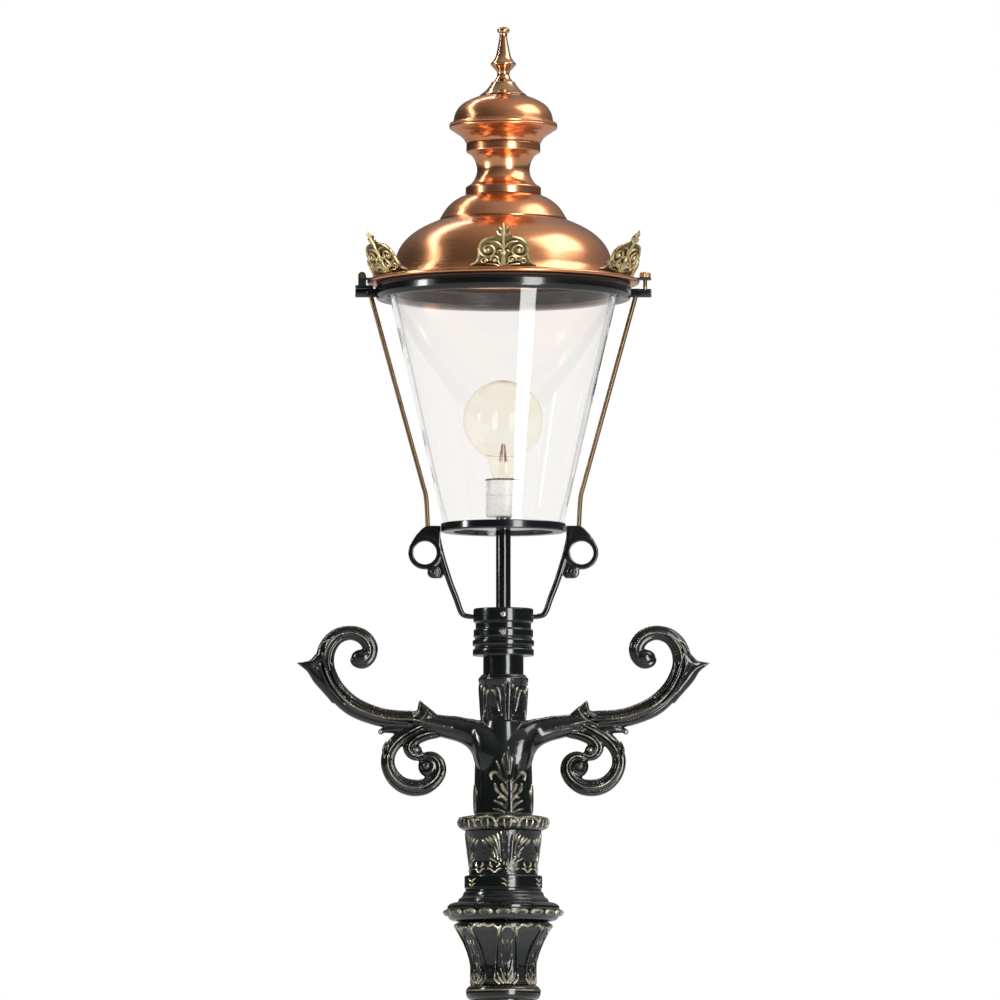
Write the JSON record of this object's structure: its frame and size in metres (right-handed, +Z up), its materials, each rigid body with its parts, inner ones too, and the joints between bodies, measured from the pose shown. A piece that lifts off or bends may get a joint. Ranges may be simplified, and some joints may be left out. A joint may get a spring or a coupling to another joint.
{
  "type": "street lamp post",
  "caption": "Classic cast street lamp post with scroll arms, an octagonal base with a door, and a round copper-roofed glass lantern whose roof hinges open.",
  "frame": {"origin": "middle of the base's underside, on the ground", "axes": "+Z up along the post; -Y is the front with the base door; the scroll arms lie along X"},
  "size_m": [0.619, 0.4704, 3.5],
  "materials": {
    "post_casting": "glossy black-green paint, rubbed gold on the relief",
    "lantern_casting": "glossy black-green paint",
    "steel": "zinc plated",
    "brass": "aged cast brass",
    "copper": "spun copper, satin",
    "clear_glass": "clear, polished",
    "lamp_glass": "clear, warm tint",
    "ceramic": "white, satin",
    "rubber": "matt black",
    "plastic": "matt grey"
  },
  "bodies": {
    "post": {"base_plinth": "post_casting", "base_vase": "post_casting", "shaft": "post_casting", "astragal_ring": "post_casting", "tulip_capital": "post_casting", "egg_ring": "post_casting", "band_collar": "post_casting", "leaf_drum": "post_casting", "bead_ring": "post_casting", "cross_arm": "post_casting", "leaf_sleeve": "post_casting", "lantern_collar": "lantern_casting", "lamp_pipe": "lantern_casting", "cradle_arm_left": "lantern_casting", "cradle_arm_right": "lantern_casting", "bottom_ring": "lantern_casting", "top_ring": "lantern_casting", "door_pintle_lower": "steel", "door_pintle_upper": "steel", "door_keeper": "steel", "mounting_rail": "steel", "core_tube": "steel", "pipe_nut": "steel", "hinge_bracket": "steel", "collar_screw_1": "brass", "collar_screw_2": "brass", "collar_screw_3": "brass", "side_rod_left": "brass", "side_rod_right": "brass", "hinge_pin": "brass", "lamp_cap": "brass", "glass_cone": "clear_glass", "bottom_glass": "clear_glass", "lamp_globe": "lamp_glass", "lamp_stem": "lamp_glass", "lamp_holder": "ceramic", "terminal_block": "ceramic", "glass_seal": "rubber", "roof_gasket": "rubber", "junction_box": "plastic", "junction_lid": "plastic", "cable_gland": "plastic"},
    "roof": {"roof_dome": "copper", "upper_dome": "copper", "chimney_neck": "copper", "chimney_pan": "copper", "chimney_cap": "copper", "finial": "brass", "hinge_leaf": "steel", "latch_lug": "steel", "crown_ornament_1": "brass", "crown_ornament_2": "brass", "crown_ornament_3": "brass", "crown_ornament_4": "brass", "crown_ornament_5": "brass", "crown_ornament_6": "brass"},
    "latch": {"latch_screw": "brass"},
    "door": {"base_door": "post_casting"},
    "bolt": {"door_bolt": "brass"}
  },
  "joints": [
    {"name": "roof_hinge", "type": "hinge", "parent": "post", "child": "roof", "pos_m": [-0.2115, 0, 3.1225], "axis": [0, -1, 0], "range_deg": [0, 100]},
    {"name": "latch_turn", "type": "hinge", "parent": "roof", "child": "latch", "pos_m": [0.2125, 0, 3.1208], "axis": [0, 0, 1], "continuous": true},
    {"name": "door_hinge", "type": "hinge", "parent": "post", "child": "door", "pos_m": [-0.0455, -0.131, 0.35], "axis": [0, 0, -1], "range_deg": [0, 110]},
    {"name": "bolt_turn", "type": "hinge", "parent": "door", "child": "bolt", "pos_m": [0.027, -0.1265, 0.35], "axis": [0, -1, 0], "continuous": true}
  ]
}
